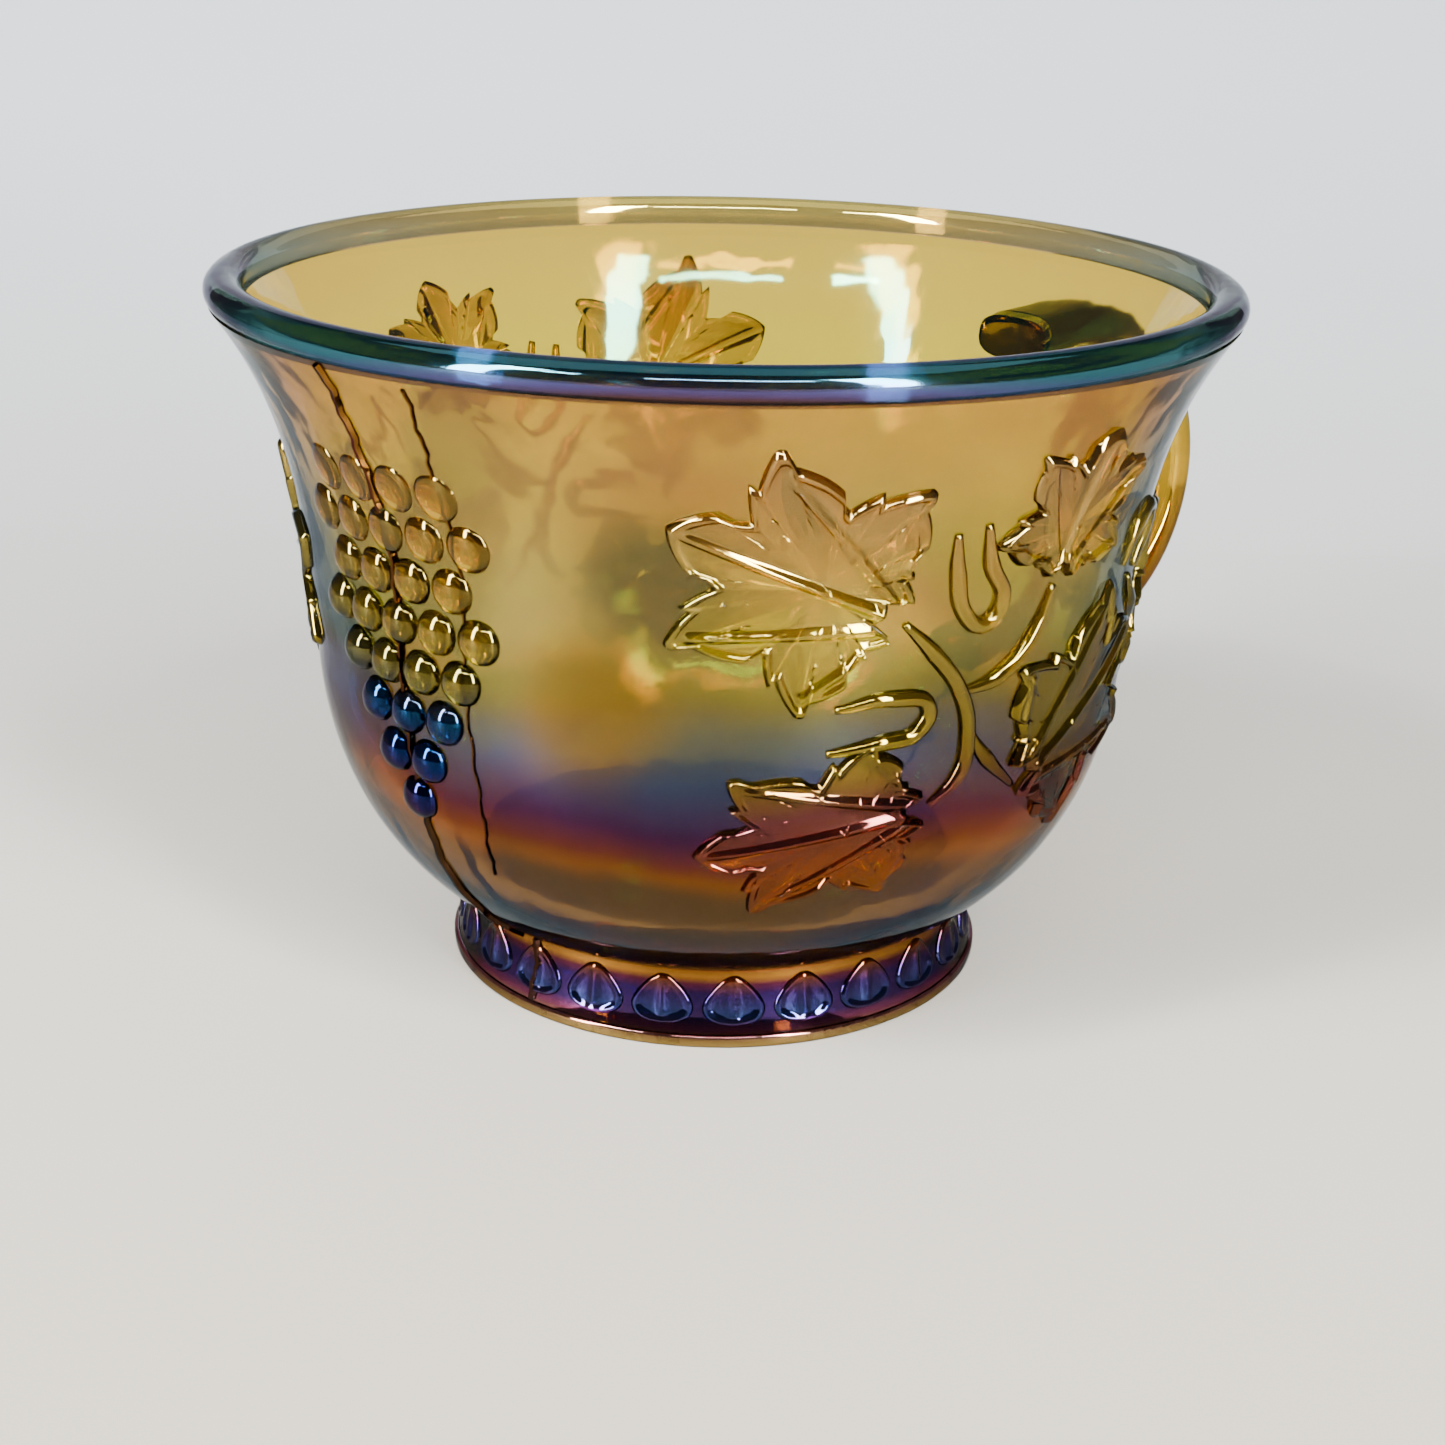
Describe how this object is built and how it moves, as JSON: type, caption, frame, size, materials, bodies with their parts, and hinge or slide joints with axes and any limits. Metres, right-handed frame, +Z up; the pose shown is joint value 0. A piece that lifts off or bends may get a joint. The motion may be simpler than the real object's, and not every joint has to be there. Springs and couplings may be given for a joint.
{
  "type": "punch cup",
  "caption": "Round footed glass punch cup with a flared beaded rim, a strap handle, moulded vine leaves and a bunch of grapes.",
  "frame": {"origin": "centre of the foot's underside, on the cup's axis, in the plane that the cup rests on", "axes": "+Z up along the cup's axis; +X towards the handle; the mirror plane of bowl, foot and handle is XZ"},
  "size_m": [0.112, 0.092, 0.0652],
  "materials": {
    "amber_glass": "gloss, iridescent gold film",
    "rim_glass": "gloss, iridescent teal film",
    "foot_glass": "gloss, iridescent violet film",
    "leaf_glass": "gloss, iridescent gold film",
    "grape_glass": "gloss, iridescent blue film"
  },
  "bodies": {
    "root": {"bowl": "amber_glass", "rim_bead": "rim_glass", "foot_ring": "foot_glass", "foot_flange": "foot_glass", "foot_petals": "foot_glass", "handle": "amber_glass", "grape_bunch": "grape_glass", "front_leaf_upper_left": "leaf_glass", "front_leaf_lower": "leaf_glass", "front_leaf_right": "leaf_glass", "front_leaf_top": "leaf_glass", "front_leaf_outer": "leaf_glass", "back_leaf_upper_left": "leaf_glass", "back_leaf_lower": "leaf_glass", "back_leaf_right": "leaf_glass", "back_leaf_top": "leaf_glass", "back_leaf_outer": "leaf_glass", "front_tendrils": "leaf_glass", "back_tendrils": "leaf_glass", "mould_seams": "amber_glass"}
  },
  "joints": []
}
